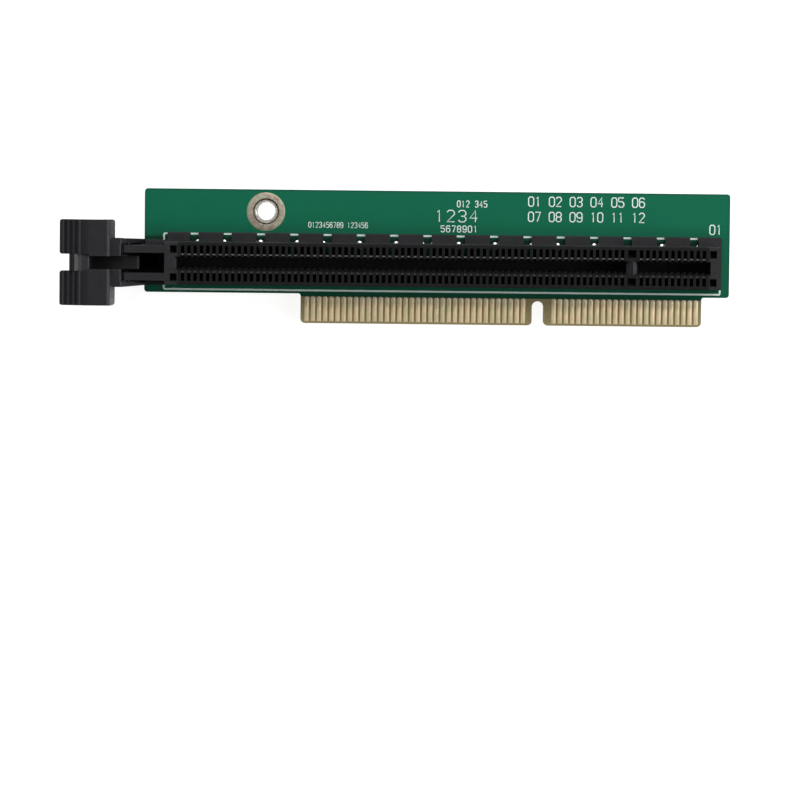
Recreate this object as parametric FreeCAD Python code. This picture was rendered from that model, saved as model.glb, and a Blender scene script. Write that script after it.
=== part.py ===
"""PCIe riser card: a board with a gold edge connector, a x16 card slot and a retention latch.

Millimetres. The origin is the axis of the threaded nut, on the board's rear face. +X runs along
the slot away from the latch, +Y points at the board's plain long edge, away from the gold
fingers, and +Z leaves the component side. Below, "height" is measured from the board's front
face and "offset" is the distance from the slot's centre plane, which stands along X and Z.
"""
import FreeCAD, Part
import math
import os

Vec = FreeCAD.Vector

# Board: where its edges lie from the nut axis
board_thickness = 1.6
board_left = -19.6
board_right = 75.0
board_top = 3.56
board_bottom = -13.19
board_corner = 0.5

# Edge connector tongue and its gold fingers
tongue_left = 5.71
tongue_right = 70.54
tongue_drop = 4.79
tongue_corner = 0.75
tongue_root = 0.4
key_notch_x = 44.06
key_notch_width = 1.86
key_notch_top = -14.06
bevel_height = 0.36
bevel_depth = 0.3
finger_pitch = 1.0
finger_width = 0.7
finger_thickness = 0.05
finger_top = -13.62
fingers_in_long = 36
fingers_in_short = 24
finger_to_edge = 0.88
finger_to_key = 2.36

# Threaded nut and the copper rings round its hole
nut_thread_radius = 1.25
nut_shank_radius = 2.1
nut_shank_length = 1.53
nut_head_radius = 2.78
nut_head_height = 1.5
nut_edge_chamfer = 0.25
nut_press_clearance = 0.01
pad_radius = 3.05
pad_thickness = 0.05

# Slot: contact places, counted from the end away from the latch
slot_centre_y = -8.28
contact_pitch = 1.0
contacts_in_short = 11
contacts_in_long = 71
first_contact_x = 70.15
key_gap = 3.0

# Slot housing
slot_height = 11.25
slot_floor = 2.6
slot_half_width = 0.88
slot_end_margin = 1.02
slot_latch_margin = 1.05
lead_in_width = 0.2
lead_in_depth = 0.45
key_width = 1.75
key_chamfer_width = 0.68
key_chamfer_depth = 1.2
end_chamfer_width = 0.3
wall_half_width = 3.4
wall_end_by_latch = 1.87
wall_end_far = 1.7
wall_chamfer = 0.25
cavity_width = 0.55
cavity_outer = 2.83
pocket_inner = 1.63
pocket_depth = 3.0
end_pocket_length = 1.08
end_pocket_overlap = 0.12
key_pocket_length = 1.3
tail_trench_inner = 0.94
tail_trench_margin = 0.2

# Foot of the housing: a castellated flange on one side, a narrow ledge on the other
foot_height = 2.6
flange_half_width = 4.85
ledge_half_width = 3.6
foot_end_ledge = 0.63
foot_chamfer = 0.2
notch_count = 16
notch_pitch = 5.374
notch_width = 1.37
first_notch_from_end = 4.3

# Locating pegs under the housing
peg_radius = 1.0
peg_below_board = 1.0
peg_clearance = 0.17
peg_from_wall = 1.6

# Contact strip
strip_width = 0.45
strip_thickness = 0.2
tail_below_board = 1.4
tail_row_inner = 1.1
tail_row_outer = 3.1
tail_bend_outer = 0.4
tail_bend_over_floor = 0.2
touch_offset = 0.72
touch_height = 8.4
tip_offset = 1.42
tip_height = 10.8
tail_hole_clearance = 0.1

# Latch bracket: two arms beyond the housing's end, on a base plate
bracket_reach = 6.4
bracket_foot_reach = 6.6
bracket_foot_round = 0.5
arm_inner = 1.6
arm_outer = 2.8
shoulder_outer = 3.56
shoulder_reach = 3.2
shoulder_height = 7.5
bracket_floor_height = 0.8
bracket_floor_reach = 7.5

# Hinge of the latch
pivot_reach = 5.2
pivot_height = 3.4
hinge_pin_radius = 1.0
hinge_running_clearance = 0.05
hinge_pin_end_gap = 0.15
cheek_gap = 0.25
cheek_outer_top = 3.9
cheek_outer_foot = 3.6
cheek_boss_radius = 1.7
cheek_round = 1.4

# Thumb wings of the latch, as distances outwards from the housing's end
wing_inner_reach = 7.98
wing_outer_reach = 16.56
wing_half_span = 6.82
wing_gap_half = 1.33
wing_corner = 0.4
wing_top_height = 13.8
wing_tip_height = 12.3
wing_plate = 1.7
wing_lip_height = 9.0
wing_lip_thickness = 1.3
wing_lip_slant = 0.55
wing_ridge_round = 0.6
wing_crown_round = 3.0
wing_edge_round = 0.5
grip_reach = 12.55
grip_start = 0.7
grip_ribs = 4
grip_pitch = 0.85
grip_rise = 0.22

# Middle of the latch: bridge between the wings, with a rib along its outer edge
bridge_inner_reach = 11.78
bridge_outer_reach = 14.96
bridge_top_height = 13.2
bridge_edge_round = 0.25
bridge_rib_width = 1.43
bridge_rib_crest = 0.95
bridge_rib_rise = 0.45
bridge_rib_round = 0.45

# Sunk channel between the wings, neck, hook nose and ejector foot
channel_half_width = 1.04
channel_wall = 0.5
channel_floor_height = 8.2
spine_thickness = 1.6
spine_leg_reach = 8.7
spine_leg_height = 6.9
neck_inner_reach = 6.85
neck_top_height = 11.4
neck_foot_height = 8.0
neck_edge_round = 0.3
nose_reach = 4.03
nose_top_height = 9.4
nose_depth = 1.4
nose_round = 0.4
nose_undercut = 0.5
hub_radius = 1.6
foot_reach = 1.5
foot_gap = 0.15
foot_tip_height = 1.3
foot_rise = 0.9

# Places that follow from the sizes above
tongue_bottom = board_bottom - tongue_drop
last_contact_x = first_contact_x - key_gap - (contacts_in_short + contacts_in_long - 2) * contact_pitch
key_x = first_contact_x - (contacts_in_short - 1) * contact_pitch - key_gap / 2
slot_right = first_contact_x + slot_end_margin
slot_left = last_contact_x - slot_latch_margin
wall_right = slot_right + wall_end_far
wall_left = slot_left - wall_end_by_latch
pivot_x = wall_left - pivot_reach
through = 1.0


def block(x0, x1, y0, y1, z0, z1):
    """A box between two corners."""
    return Part.makeBox(x1 - x0, y1 - y0, z1 - z0, Vec(x0, y0, z0))


def slot_block(x0, x1, offset0, offset1, height0, height1, side=1):
    """A box placed by its offsets from the slot's centre plane and heights over the board."""
    y0, y1 = sorted((slot_centre_y + side * offset0, slot_centre_y + side * offset1))
    return block(x0, x1, y0, y1, board_thickness + height0, board_thickness + height1)


def rounded_wire(corners):
    """A closed wire through (point, radius) corners, each rounded by an arc of its radius."""
    edges = []
    starts = []
    ends = []
    count = len(corners)
    for index, (point, radius) in enumerate(corners):
        before = (corners[index - 1][0] - point).normalize()
        after = (corners[(index + 1) % count][0] - point).normalize()
        if radius == 0:
            starts.append(point)
            ends.append(point)
            continue
        half_angle = before.getAngle(after) / 2
        reach = radius / math.tan(half_angle)
        start = point + before * reach
        end = point + after * reach
        inward = (before + after).normalize()
        middle = point + inward * (radius / math.sin(half_angle) - radius)
        edges.append(Part.Arc(start, middle, end).toShape())
        starts.append(start)
        ends.append(end)
    for index in range(count):
        start = ends[index]
        end = starts[(index + 1) % count]
        if (end - start).Length > 1e-6:
            edges.append(Part.makeLine(start, end))
    return Part.Wire(Part.__sortEdges__(edges))


def plan_prism(corners, z0, z1):
    """A prism along Z over (x, y, radius) corners."""
    wire = rounded_wire([(Vec(x, y, z0), radius) for x, y, radius in corners])
    return Part.Face(wire).extrude(Vec(0, 0, z1 - z0))


def side_prism(corners, offset0, offset1, side=1):
    """A prism along Y over (x, height, radius) corners, between two offsets."""
    y0 = slot_centre_y + side * offset0
    wire = rounded_wire([(Vec(x, y0, board_thickness + height), radius) for x, height, radius in corners])
    return Part.Face(wire).extrude(Vec(0, side * (offset1 - offset0), 0))


def end_prism(corners, x0, x1, side=1):
    """A prism along X over (offset, height) corners."""
    points = [Vec(x0, slot_centre_y + side * offset, board_thickness + height) for offset, height in corners]
    return Part.Face(Part.makePolygon(points + points[:1])).extrude(Vec(x1 - x0, 0, 0))


def ring(outer, inner, z0, z1):
    """A flat ring round the nut axis."""
    solid = Part.makeCylinder(outer, z1 - z0, Vec(0, 0, z0))
    return solid.cut(Part.makeCylinder(inner, z1 - z0, Vec(0, 0, z0)))


def cut_all(solid, tools):
    """The solid less all the tools, in one operation, with faces in one plane joined."""
    return solid.cut(Part.Compound(tools)).removeSplitter()


def contact_places():
    """(bay, number within the bay, x) of every contact position."""
    places = [("short", n, first_contact_x - n * contact_pitch) for n in range(contacts_in_short)]
    places += [("long", n, last_contact_x + n * contact_pitch) for n in range(contacts_in_long)]
    return places


def tail_row(number, side):
    """The row of holes that a contact's tail stands in: neighbours take turns."""
    is_outer = (number + (side < 0)) % 2 == 0
    return "outer" if is_outer else "inner"


tail_offset = {"inner": tail_row_inner, "outer": tail_row_outer}
tail_bend = {"inner": slot_floor + tail_bend_over_floor, "outer": tail_bend_outer}
peg_places = [key_x, wall_left - peg_from_wall]


# ---------------------------------------------------------------- board

def finger_places(bay):
    """x of each finger's centre in one bay of the edge connector."""
    if bay == "long":
        first = key_notch_x - finger_to_key - (fingers_in_long - 1) * finger_pitch
        return [first + n * finger_pitch for n in range(fingers_in_long)]
    first = tongue_right - finger_to_edge - (fingers_in_short - 1) * finger_pitch
    return [first + n * finger_pitch for n in range(fingers_in_short)]


def board_outline():
    """The routed outline, with the tongue and its key notch."""
    notch_left = key_notch_x - key_notch_width / 2
    notch_right = key_notch_x + key_notch_width / 2
    notch_round = key_notch_width / 2 - 0.01
    return [
        (board_left, board_top, board_corner),
        (board_right, board_top, board_corner),
        (board_right, board_bottom, board_corner),
        (tongue_right, board_bottom, tongue_root),
        (tongue_right, tongue_bottom, tongue_corner),
        (notch_right, tongue_bottom, tongue_corner),
        (notch_right, key_notch_top, notch_round),
        (notch_left, key_notch_top, notch_round),
        (notch_left, tongue_bottom, tongue_corner),
        (tongue_left, tongue_bottom, tongue_corner),
        (tongue_left, board_bottom, tongue_root),
        (board_left, board_bottom, board_corner),
    ]


def tongue_bevel(z_face, z_inside):
    """The wedge planed off one face along the tongue's lower edge."""
    x0 = tongue_left - through
    points = [
        Vec(x0, tongue_bottom, z_inside),
        Vec(x0, tongue_bottom + bevel_height, z_face),
        Vec(x0, tongue_bottom - through, z_face),
        Vec(x0, tongue_bottom - through, z_inside),
    ]
    face = Part.Face(Part.makePolygon(points + points[:1]))
    return face.extrude(Vec(tongue_right - tongue_left + 2 * through, 0, 0))


def circuit_board():
    """The laminate. The contacts' holes are cut square, a little over their tails."""
    board = plan_prism(board_outline(), 0, board_thickness)
    nut_hole = nut_shank_radius + nut_press_clearance
    tools = [Part.makeCylinder(nut_hole, board_thickness, Vec(0, 0, 0))]
    for x in peg_places:
        tools.append(Part.makeCylinder(peg_radius + peg_clearance, board_thickness, Vec(x, slot_centre_y, 0)))
    half = strip_width / 2 + tail_hole_clearance
    for _, number, x in contact_places():
        for side in (1, -1):
            y = slot_centre_y + side * tail_offset[tail_row(number, side)]
            tools.append(block(x - half, x + half, y - half, y + half, 0, board_thickness))
    tools.append(tongue_bevel(board_thickness, board_thickness - bevel_depth))
    tools.append(tongue_bevel(0, bevel_depth))
    return cut_all(board, tools)


def finger(x, z0):
    """One gold finger, from the bevel of the tongue upwards."""
    half = finger_width / 2
    return block(x - half, x + half, tongue_bottom + bevel_height, finger_top, z0, z0 + finger_thickness)


def threaded_nut():
    """A broached nut, turned: shank in the board's hole, head against the rear ring."""
    head_top = -pad_thickness
    head_bottom = head_top - nut_head_height
    shank_top = head_top + nut_shank_length
    mouth = nut_thread_radius + nut_edge_chamfer
    profile = [
        (mouth, head_bottom),
        (nut_head_radius, head_bottom),
        (nut_head_radius, head_top),
        (nut_shank_radius, head_top),
        (nut_shank_radius, shank_top),
        (mouth, shank_top),
        (nut_thread_radius, shank_top - nut_edge_chamfer),
        (nut_thread_radius, head_bottom + nut_edge_chamfer),
    ]
    points = [Vec(radius, 0, z) for radius, z in profile]
    face = Part.Face(Part.makePolygon(points + points[:1]))
    return face.revolve(Vec(0, 0, 0), Vec(0, 0, 1), 360)


# ---------------------------------------------------------------- slot housing

def housing_body():
    """The moulding before it is opened: walls, foot, flange, pegs and latch bracket."""
    edge = wall_half_width - wall_chamfer
    section = [
        (-wall_half_width, 0),
        (wall_half_width, 0),
        (wall_half_width, slot_height - wall_chamfer),
        (edge, slot_height),
        (-edge, slot_height),
        (-wall_half_width, slot_height - wall_chamfer),
    ]
    foot_section = [
        (-ledge_half_width, 0),
        (flange_half_width, 0),
        (flange_half_width, foot_height - foot_chamfer),
        (flange_half_width - foot_chamfer, foot_height),
        (-ledge_half_width, foot_height),
    ]
    pieces = [
        end_prism(section, wall_left, wall_right),
        end_prism(foot_section, wall_left, wall_right + foot_end_ledge),
    ]
    pieces += bracket_pieces()
    for x in peg_places:
        bottom = -peg_below_board
        pieces.append(Part.makeCylinder(peg_radius, board_thickness - bottom, Vec(x, slot_centre_y, bottom)))
    return pieces[0].fuse(pieces[1:])


def bracket_pieces():
    """Two arms, their outer shoulders and the base plate under them."""
    arm = [
        (wall_left, 0, 0),
        (wall_left - bracket_foot_reach, 0, bracket_foot_round),
        (wall_left - bracket_reach, slot_height, 0),
        (wall_left, slot_height, 0),
    ]
    pieces = []
    for side in (1, -1):
        pieces.append(side_prism(arm, arm_inner, arm_outer, side))
        shoulder_left = wall_left - shoulder_reach
        pieces.append(
            slot_block(shoulder_left, wall_left, arm_outer, shoulder_outer, 0, shoulder_height, side)
        )
    floor_left = wall_left - bracket_floor_reach
    pieces.append(slot_block(floor_left, wall_left, -shoulder_outer, shoulder_outer, 0, bracket_floor_height))
    return pieces


def slot_bays():
    """(x0, x1) of the slot on each side of the key bridge."""
    half_key = key_width / 2
    return [(slot_left, key_x - half_key), (key_x + half_key, slot_right)]


def slot_tools():
    """What opens the slot: two bays, the lead-in along them and the slanted ends."""
    tools = []
    lead_bottom = slot_height - lead_in_depth
    mouth = slot_half_width + lead_in_width
    above = slot_height + through
    section = [
        (-slot_half_width, slot_floor),
        (slot_half_width, slot_floor),
        (slot_half_width, lead_bottom),
        (mouth, slot_height),
        (mouth, above),
        (-mouth, above),
        (-mouth, slot_height),
        (-slot_half_width, lead_bottom),
    ]
    for x0, x1 in slot_bays():
        tools.append(end_prism(section, x0, x1))
    slants = [
        (key_x - key_width / 2, key_chamfer_width),
        (key_x + key_width / 2, -key_chamfer_width),
        (slot_left, -end_chamfer_width),
    ]
    for x, run in slants:
        wedge = [
            (x, slot_height - key_chamfer_depth, 0),
            (x + run, slot_height, 0),
            (x + run, above, 0),
            (x, above, 0),
        ]
        tools.append(side_prism(wedge, -mouth, mouth))
    return tools


def cavity_tools():
    """Contact cavities, blind pockets beside them and the trenches for the tails."""
    tools = []
    half = cavity_width / 2
    above = slot_height + through
    pocket_floor = slot_height - pocket_depth
    left_pocket = slot_left + end_pocket_overlap
    right_pocket = slot_right - end_pocket_overlap
    pockets = [
        (left_pocket - end_pocket_length, left_pocket),
        (right_pocket, right_pocket + end_pocket_length),
        (key_x - key_pocket_length / 2, key_x + key_pocket_length / 2),
    ]
    for side in (1, -1):
        for _, _, x in contact_places():
            cavity = (slot_half_width, cavity_outer, slot_floor, above)
            tools.append(slot_block(x - half, x + half, *cavity, side))
        for x0, x1 in pockets:
            tools.append(slot_block(x0, x1, pocket_inner, cavity_outer, pocket_floor, above, side))
        for x0, x1 in slot_bays():
            trench_outer = tail_row_outer + tail_trench_margin
            tools.append(slot_block(x0, x1, tail_trench_inner, trench_outer, 0, slot_floor, side))
    return tools


def foot_notches():
    """The openings of the castellated flange, into the trench behind it."""
    tools = []
    inside = tail_row_outer + tail_trench_margin
    first = wall_left + first_notch_from_end
    for n in range(notch_count):
        x = first + n * notch_pitch
        x0 = x - notch_width / 2
        x1 = x + notch_width / 2
        tools.append(slot_block(x0, x1, inside, flange_half_width, 0, foot_height))
    return tools


def hinge_bore(side):
    """The hole for the latch's pin through one arm."""
    start = Vec(pivot_x, slot_centre_y + side * arm_inner, board_thickness + pivot_height)
    radius = hinge_pin_radius + hinge_running_clearance
    return Part.makeCylinder(radius, arm_outer - arm_inner, start, Vec(0, side, 0))


def slot_housing():
    """The whole moulding of the slot."""
    tools = slot_tools() + cavity_tools() + foot_notches() + [hinge_bore(1), hinge_bore(-1)]
    return cut_all(housing_body().removeSplitter(), tools)


# ---------------------------------------------------------------- contacts

def strip_outline(line):
    """The closed outline of a strip that follows a line of (offset, height) points."""
    half = strip_thickness / 2
    left = []
    right = []
    points = [Vec(offset, height, 0) for offset, height in line]
    for index, point in enumerate(points):
        ahead = points[min(index + 1, len(points) - 1)] - points[min(index, len(points) - 2)]
        behind = points[max(index, 1)] - points[max(index - 1, 0)]
        ahead.normalize()
        behind.normalize()
        along = (ahead + behind).normalize()
        across = Vec(-along.y, along.x, 0)
        reach = half / along.dot(ahead)
        left.append(point + across * reach)
        right.append(point - across * reach)
    return [(p.x, p.y) for p in left + right[::-1]]


def contact(x, row, side):
    """One formed strip: tail through the board, sprung beam and turned-back tip."""
    tail = tail_offset[row]
    line = [
        (tail, -board_thickness - tail_below_board),
        (tail, tail_bend[row]),
        (touch_offset, touch_height),
        (tip_offset, tip_height),
    ]
    return end_prism(strip_outline(line), x - strip_width / 2, x + strip_width / 2, side)


def contact_groups():
    """Every contact, grouped by side, bay and row of its tail."""
    groups = {}
    for letter, side in (("a", 1), ("b", -1)):
        for bay, number, x in contact_places():
            row = tail_row(number, side)
            groups.setdefault(f"contacts_{letter}_{bay}_{row}", []).append(contact(x, row, side))
    return groups


# ---------------------------------------------------------------- retention latch

def latch_x(reach):
    """x of a place on the latch, given as its distance outwards from the housing's end."""
    return wall_left - reach


def wing_side():
    """Side outline of a thumb wing: ribbed slope, crown, ridge and turned-down lip."""
    tip = latch_x(wing_outer_reach)
    lip = latch_x(wing_inner_reach)
    crown = latch_x(grip_reach)
    slope = (wing_top_height - wing_tip_height) / (wing_outer_reach - grip_reach)
    corners = [
        (tip, wing_tip_height - wing_plate, wing_edge_round),
        (tip, wing_tip_height, 0),
    ]
    for n in range(grip_ribs):
        x = tip + grip_start + n * grip_pitch
        height = wing_tip_height + (x - tip) * slope
        corners += [
            (x - grip_rise, height, 0),
            (x, height + grip_rise, 0),
            (x + grip_rise, height, 0),
        ]
    corners += [
        (crown, wing_top_height, wing_crown_round),
        (lip - wing_lip_slant, wing_top_height, wing_ridge_round),
        (lip, wing_lip_height, 0),
        (lip - wing_lip_thickness, wing_lip_height, 0),
        (lip - wing_lip_thickness - wing_lip_slant, wing_top_height - wing_plate, wing_edge_round),
        (crown, wing_top_height - wing_plate, 0),
    ]
    return corners


def latch_wings():
    """Both wings, trimmed to their rounded plan: parted by a gap, then by the narrower channel."""
    tip = latch_x(wing_outer_reach)
    lip = latch_x(wing_inner_reach)
    step = latch_x(bridge_inner_reach)
    wings = []
    for side in (1, -1):
        blade = side_prism(wing_side(), channel_half_width, wing_half_span, side)
        gap = slot_centre_y + side * wing_gap_half
        channel = slot_centre_y + side * channel_half_width
        edge = slot_centre_y + side * wing_half_span
        plan = plan_prism(
            [
                (tip, gap, wing_corner),
                (step, gap, 0),
                (step, channel, 0),
                (lip, channel, 0),
                (lip, edge, wing_corner),
                (tip, edge, wing_corner),
            ],
            board_thickness,
            board_thickness + wing_top_height + through,
        )
        wings.append(blade.common(plan))
    return wings


def latch_bridge():
    """The bar across the gap between the wings, with its raised rib."""
    outer = latch_x(bridge_outer_reach)
    inner = latch_x(bridge_inner_reach)
    rib_top = bridge_top_height + bridge_rib_rise
    corners = [
        (outer, bridge_top_height - wing_plate, 0),
        (outer, rib_top, bridge_rib_round),
        (outer + bridge_rib_crest, rib_top, bridge_rib_round),
        (outer + bridge_rib_width, bridge_top_height, 0),
        (inner, bridge_top_height, bridge_edge_round),
        (inner, bridge_top_height - wing_plate, 0),
    ]
    return side_prism(corners, -wing_gap_half, wing_gap_half)


def latch_spine():
    """The middle web: channel floor, hook nose, hub and ejector foot."""
    inner = latch_x(bridge_inner_reach)
    nose = latch_x(nose_reach)
    foot_top = foot_tip_height + foot_rise
    web_top = bridge_top_height - wing_plate / 2
    corners = [
        (latch_x(bridge_outer_reach) + wing_plate / 2, web_top, 0),
        (inner, web_top, 0),
        (inner, channel_floor_height, 0),
        (nose, nose_top_height, nose_round),
        (nose, nose_top_height - nose_depth, 0),
        (pivot_x + hub_radius / 2, nose_top_height - nose_depth - nose_undercut, 0),
        (pivot_x + hub_radius, pivot_height + hub_radius / 2, hub_radius / 2),
        (latch_x(foot_reach) - foot_tip_height / 2, foot_top, 0),
        (latch_x(foot_reach), foot_tip_height, 0),
        (latch_x(foot_reach), bracket_floor_height + foot_gap, 0),
        (pivot_x, bracket_floor_height + foot_gap, hub_radius / 2),
        (pivot_x - hub_radius, pivot_height, hub_radius / 2),
        (latch_x(spine_leg_reach), spine_leg_height, 0),
        (inner - spine_thickness / 2, channel_floor_height - spine_thickness, spine_thickness / 2),
    ]
    return side_prism(corners, -channel_half_width, channel_half_width)


def channel_side(side):
    """The wall of the channel, from beside its floor up into the wing."""
    outer = latch_x(bridge_inner_reach) - spine_thickness / 2
    inner = latch_x(wing_inner_reach) - wing_lip_thickness / 2
    foot = channel_floor_height - spine_thickness / 2
    top = wing_top_height - wing_plate / 2
    corners = [(outer, foot, 0), (outer, top, 0), (inner, top, 0), (inner, foot, 0)]
    return side_prism(corners, channel_half_width, channel_half_width + channel_wall, side)


def latch_neck(side):
    """The block that joins a wing to its cheek over the arm."""
    outer = latch_x(wing_inner_reach) - wing_lip_thickness
    inner = latch_x(neck_inner_reach)
    corners = [
        (outer, neck_foot_height, 0),
        (outer, neck_top_height, 0),
        (inner, neck_top_height, neck_edge_round),
        (inner, neck_foot_height, 0),
    ]
    return side_prism(corners, channel_half_width, cheek_outer_top, side)


def latch_cheek(side):
    """The plate outside an arm, drawn in towards the boss that carries the hinge pin."""
    inner = arm_outer + cheek_gap
    outer = latch_x(wing_inner_reach) - wing_lip_thickness / 2
    corners = [
        (outer, neck_top_height, 0),
        (latch_x(neck_inner_reach), neck_top_height, neck_edge_round),
        (pivot_x + cheek_boss_radius, pivot_height + cheek_boss_radius / 2, cheek_round),
        (pivot_x + cheek_boss_radius, pivot_height - cheek_boss_radius, cheek_round),
        (pivot_x - cheek_boss_radius, pivot_height - cheek_boss_radius, cheek_round),
    ]
    plate = side_prism(corners, inner, cheek_outer_top, side)
    drawn_in = end_prism(
        [
            (cheek_outer_top, neck_top_height),
            (cheek_outer_foot, 0),
            (cheek_outer_top + through, 0),
            (cheek_outer_top + through, neck_top_height),
        ],
        outer - through,
        pivot_x + cheek_boss_radius + through,
        side,
    )
    pin_end = arm_inner + hinge_pin_end_gap
    start = Vec(pivot_x, slot_centre_y + side * pin_end, board_thickness + pivot_height)
    pin = Part.makeCylinder(hinge_pin_radius, inner - pin_end, start, Vec(0, side, 0))
    return plate.cut(drawn_in).fuse(pin)


def retention_latch():
    """The lever, one moulding."""
    pieces = latch_wings() + [latch_bridge()]
    for side in (1, -1):
        pieces.append(channel_side(side))
        pieces.append(latch_neck(side))
        pieces.append(latch_cheek(side))
    return latch_spine().fuse(pieces).removeSplitter()


# ---------------------------------------------------------------- every node

def build():
    """Every node of the card, by name."""
    rear_finger_z = -finger_thickness
    pad_hole = nut_shank_radius + nut_press_clearance
    nodes = {
        "circuit_board": circuit_board(),
        "slot_housing": slot_housing(),
        "retention_latch": retention_latch(),
        "threaded_nut": threaded_nut(),
        "mount_pad_front": ring(pad_radius, pad_hole, board_thickness, board_thickness + pad_thickness),
        "mount_pad_rear": ring(pad_radius, pad_hole, -pad_thickness, 0),
    }
    for bay in ("long", "short"):
        for face, z0 in (("front", board_thickness), ("rear", rear_finger_z)):
            fingers = [finger(x, z0) for x in finger_places(bay)]
            nodes[f"fingers_{face}_{bay}"] = Part.Compound(fingers)
    for name, strips in contact_groups().items():
        nodes[name] = Part.Compound(strips)
    return nodes


os.makedirs("parts", exist_ok=True)
for name, shape in build().items():
    shape.exportStep(f"parts/{name}.step")
    bounds = shape.BoundBox
    print(
        f"{name}: {len(shape.Solids)} solids, valid {shape.isValid()}, {shape.Volume:.2f} mm3, "
        f"x {bounds.XMin:.2f}..{bounds.XMax:.2f} y {bounds.YMin:.2f}..{bounds.YMax:.2f} "
        f"z {bounds.ZMin:.2f}..{bounds.ZMax:.2f}"
    )
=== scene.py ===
"""Finishes, print, solder and fine metalwork for a riser card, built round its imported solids.

Metres. +X runs along the slot away from the latch, +Y towards the board's plain long edge and
+Z out of the component side. The origin is the nut's axis on the board's rear face.
"""
import math
import bmesh
import bpy
from mathutils import Matrix, Quaternion, Vector


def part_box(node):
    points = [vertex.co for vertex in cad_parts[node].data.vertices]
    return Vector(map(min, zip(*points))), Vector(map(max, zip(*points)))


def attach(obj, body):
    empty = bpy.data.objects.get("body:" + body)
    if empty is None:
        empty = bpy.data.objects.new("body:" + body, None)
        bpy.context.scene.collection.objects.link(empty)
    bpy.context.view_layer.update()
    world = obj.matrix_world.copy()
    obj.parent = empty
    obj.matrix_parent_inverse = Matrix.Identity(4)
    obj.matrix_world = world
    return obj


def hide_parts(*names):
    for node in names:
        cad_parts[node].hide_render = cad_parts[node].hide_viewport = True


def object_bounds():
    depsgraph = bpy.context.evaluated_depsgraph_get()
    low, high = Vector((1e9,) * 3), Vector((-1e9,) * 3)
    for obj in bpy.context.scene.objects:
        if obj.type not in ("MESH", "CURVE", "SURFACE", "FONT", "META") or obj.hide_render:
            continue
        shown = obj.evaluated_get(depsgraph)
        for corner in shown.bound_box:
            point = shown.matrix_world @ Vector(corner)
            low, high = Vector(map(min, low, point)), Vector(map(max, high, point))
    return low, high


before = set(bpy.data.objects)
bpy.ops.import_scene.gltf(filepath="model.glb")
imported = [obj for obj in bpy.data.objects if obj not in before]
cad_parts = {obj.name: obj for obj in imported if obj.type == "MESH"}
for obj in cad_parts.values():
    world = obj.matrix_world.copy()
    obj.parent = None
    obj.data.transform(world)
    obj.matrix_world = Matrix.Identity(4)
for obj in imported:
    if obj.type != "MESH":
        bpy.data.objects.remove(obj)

bl_info = {
    "name": "Riser card dressing",
    "version": (1, 0, 0),
    "blender": (4, 5, 0),
    "location": "View3D > Sidebar > Riser card",
    "description": "Finishes, print, solder and fine metalwork for a riser card",
    "category": "Object",
}

MM = 0.001
CARD = "card"

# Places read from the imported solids
CAD_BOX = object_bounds()
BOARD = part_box("circuit_board")
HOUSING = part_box("slot_housing")
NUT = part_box("threaded_nut")
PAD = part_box("mount_pad_front")
CONTACT_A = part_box("contacts_a_long_outer")
CONTACT_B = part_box("contacts_b_long_outer")
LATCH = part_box("retention_latch")
SLOT_Y = (CONTACT_A[1].y + CONTACT_B[0].y) / 2
FINGERS_END, FINGERS_TOP = (corner.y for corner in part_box("fingers_front_long"))
FRONT = BOARD[1].z
REAR = BOARD[0].z
SINK = 0.02 * MM  # how deep a piece is let into the solid that carries it
ROUND = 64  # steps round a turned piece
NEAR = 1e-6  # two places nearer than this are the same
PITCH = 1.0 * MM  # of the fingers
SENSOR = 36  # width of the camera's sensor in millimetres

FINGER_NODES = ["fingers_front_long", "fingers_front_short", "fingers_rear_long", "fingers_rear_short"]
CONTACT_NODES = [
    f"contacts_{side}_{bay}_{row}" for side in "ab" for bay in ("long", "short") for row in ("inner", "outer")
]


# ---------------------------------------------------------------- what a user would change

def length(name, description, millimetres):
    """A length, kept in metres and shown in the scene's unit."""
    return bpy.props.FloatProperty(
        name=name, description=description, default=millimetres * MM, subtype="DISTANCE", unit="LENGTH", precision=5
    )


def colour(name, description, red, green, blue):
    """A linear colour."""
    return bpy.props.FloatVectorProperty(
        name=name, description=description, default=(red, green, blue), subtype="COLOR", size=3, min=0, max=1
    )


def power(name, description, watts):
    """The power of a light."""
    return bpy.props.FloatProperty(name=name, description=description, default=watts, subtype="POWER", unit="POWER")


class RiserBoardLook(bpy.types.PropertyGroup):
    mask: colour("Solder mask", "Green of the mask over copper", 0.001, 0.129, 0.065)
    mask_bare: colour("Mask over laminate", "Green of the mask where no copper lies under it", 0.001, 0.113, 0.055)
    laminate: colour("Laminate", "Bare glass fibre board on the tongue and the edges", 0.330, 0.275, 0.135)
    # Partly the laminate's own colour and partly painted shade and painted reflection from the fingers' sides: darker
    # and warmer than the bare laminate.
    between: colour("Between fingers", "Laminate between the gold fingers", 0.29, 0.205, 0.075)
    mask_end: length("Mask end", "Where the mask stops above the fingers, in Y", -13.67)
    edge_clearance: length("Copper clearance", "How far the copper stays from the board's edges", 0.5)
    # Painted shade: a darker line of mask along the board's left, right and upper edges, this wide.
    edge_shade_width: length("Routed edge", "Width of the darker line along the board's routed edges", 0.16)
    pad_clearance: length("Pad clearance", "Gap of bare laminate round the nut's ring", 0.05)
    weave_pitch: length("Weave pitch", "Pitch of the glass weave that shows through the mask", 0.42)
    # Painted shade: the mask under the slot is darkened this far below and above the slot's centre line.
    shade_reach_below: length("Dark below", "How far the darkened mask under the slot reaches down from its centre line", 3.3)
    shade_reach_above: length("Dark above", "How far the darkened mask under the slot reaches up from its centre line", 3.9)
    # Painted shade: a band of darker mask along the slot's upper side fades out over this width.
    side_shade_width: length("Dim width", "Width of the dimmer band of mask along the slot's upper side", 2.5)


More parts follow.
